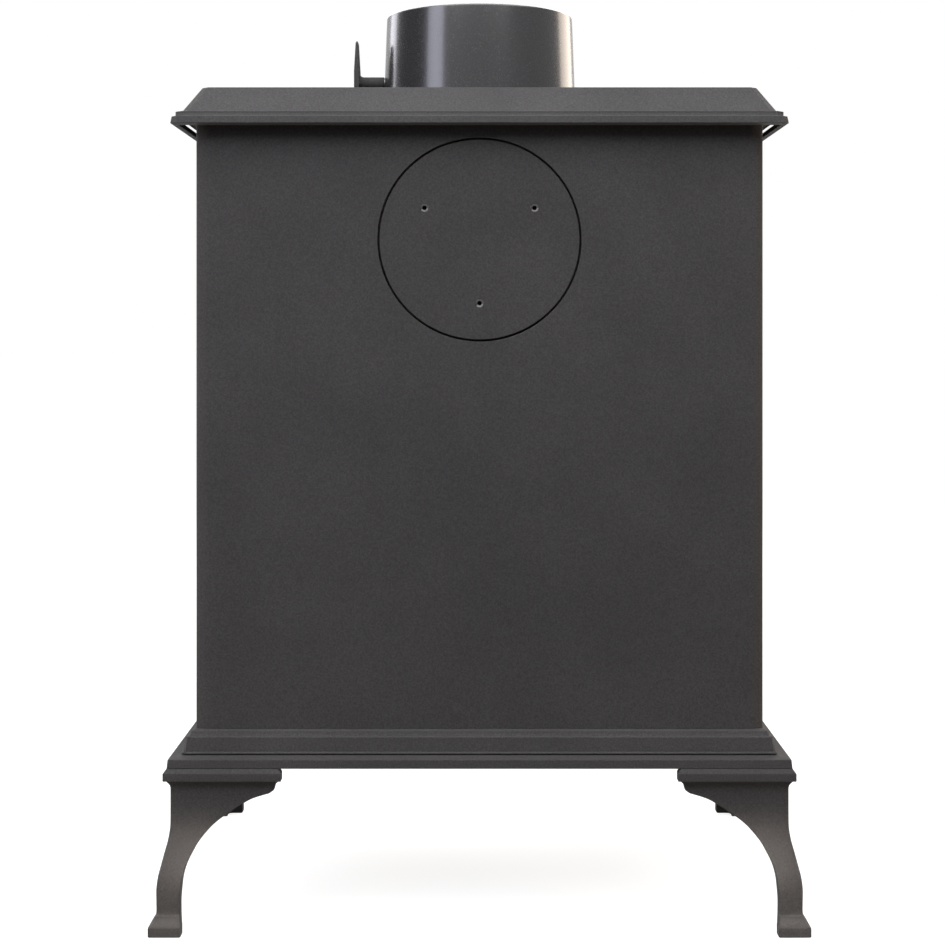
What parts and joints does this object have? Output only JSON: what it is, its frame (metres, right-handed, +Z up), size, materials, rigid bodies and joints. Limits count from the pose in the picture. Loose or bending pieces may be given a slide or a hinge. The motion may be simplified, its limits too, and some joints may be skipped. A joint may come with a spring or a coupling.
{
  "type": "wood burning stove",
  "caption": "Free-standing cast iron stove on cabriole legs with a glazed door, ash drawer, air controls, riddling grate and a top flue collar with a damper.",
  "frame": {"origin": "middle of the overall footprint, on the hearth under the feet", "axes": "+Z up, the door faces -Y, and +X is on the right of a person who faces the door"},
  "size_m": [0.4948, 0.3806, 0.7054],
  "materials": {
    "stove_paint": "matt anthracite heat-resistant paint on sand-cast iron",
    "collar_gloss": "glossy near-black enamel paint",
    "bright_steel": "turned and zinc plated steel",
    "raw_iron": "unpainted cast iron",
    "fire_glass": "clear glass ceramic with a slight warm tint",
    "seal_rope": "braided glass fibre rope",
    "fire_brick": "pressed vermiculite board",
    "pan_steel": "plain mild steel sheet"
  },
  "bodies": {
    "stove_body": {"top_plate": "stove_paint", "rear_panel": "stove_paint", "rear_blanking_disc": "stove_paint", "blanking_clamp": "raw_iron", "blanking_screw_1": "stove_paint", "blanking_screw_2": "stove_paint", "blanking_screw_3": "stove_paint", "side_panel_left": "stove_paint", "side_panel_right": "stove_paint", "front_frame": "stove_paint", "base_plinth": "stove_paint", "leg_rear_right": "stove_paint", "leg_rear_left": "stove_paint", "leg_front_left": "stove_paint", "leg_front_right": "stove_paint", "tie_rod_1": "bright_steel", "tie_rod_2": "bright_steel", "tie_rod_3": "bright_steel", "tie_rod_4": "bright_steel", "tie_nut_1": "bright_steel", "tie_nut_2": "bright_steel", "tie_nut_3": "bright_steel", "tie_nut_4": "bright_steel", "flue_collar": "collar_gloss", "collar_bolt_1": "bright_steel", "collar_bolt_2": "bright_steel", "collar_bolt_3": "bright_steel", "hinge_pin_lower": "bright_steel", "hinge_pin_upper": "bright_steel", "grate_frame": "raw_iron", "log_guard": "raw_iron", "brick_left": "fire_brick", "brick_right": "fire_brick", "brick_rear": "fire_brick", "baffle_plate": "raw_iron"},
    "damper": {"damper_plate": "raw_iron", "damper_spindle": "bright_steel", "damper_lever": "stove_paint"},
    "door": {"door_casting": "stove_paint", "door_glass": "fire_glass", "door_rope_seal": "seal_rope", "glass_clip_1": "bright_steel", "glass_clip_2": "bright_steel", "glass_clip_3": "bright_steel", "glass_clip_4": "bright_steel"},
    "handle": {"door_handle": "bright_steel", "handle_spindle": "bright_steel", "door_latch": "raw_iron"},
    "ash_drawer": {"ash_drawer_front": "stove_paint", "ash_pan": "pan_steel", "ash_drawer_knob_left": "bright_steel", "ash_drawer_knob_right": "bright_steel", "air_wheel_stud": "bright_steel"},
    "primary_air": {"air_wheel": "bright_steel"},
    "airwash": {"airwash_slider": "bright_steel", "airwash_knob": "bright_steel"},
    "riddler": {"riddling_grate": "raw_iron", "riddling_rod": "bright_steel", "riddling_knob": "bright_steel"}
  },
  "joints": [
    {"name": "damper_turn", "type": "hinge", "parent": "stove_body", "child": "damper", "pos_m": [0, 0.06545, 0.6539], "axis": [1, 0, 0], "range_deg": [0, 90]},
    {"name": "door_swing", "type": "hinge", "parent": "stove_body", "child": "door", "pos_m": [-0.18, -0.16055, 0.2433], "axis": [0, 0, -1], "range_deg": [0, 110]},
    {"name": "handle_turn", "type": "hinge", "parent": "door", "child": "handle", "pos_m": [0.138, -0.16655, 0.4003], "axis": [0, -1, 0], "range_deg": [0, 90]},
    {"name": "ash_drawer_slide", "type": "slide", "parent": "stove_body", "child": "ash_drawer", "axis": [0, -1, 0], "range_m": [0, 0.2]},
    {"name": "air_wheel_turn", "type": "hinge", "parent": "ash_drawer", "child": "primary_air", "pos_m": [0, -0.15885, 0.1854], "axis": [0, -1, 0], "continuous": true},
    {"name": "airwash_slide", "type": "slide", "parent": "stove_body", "child": "airwash", "axis": [1, 0, 0], "range_m": [0, 0.022]},
    {"name": "riddling_slide", "type": "slide", "parent": "stove_body", "child": "riddler", "axis": [0, -1, 0], "range_m": [0, 0.01]}
  ]
}
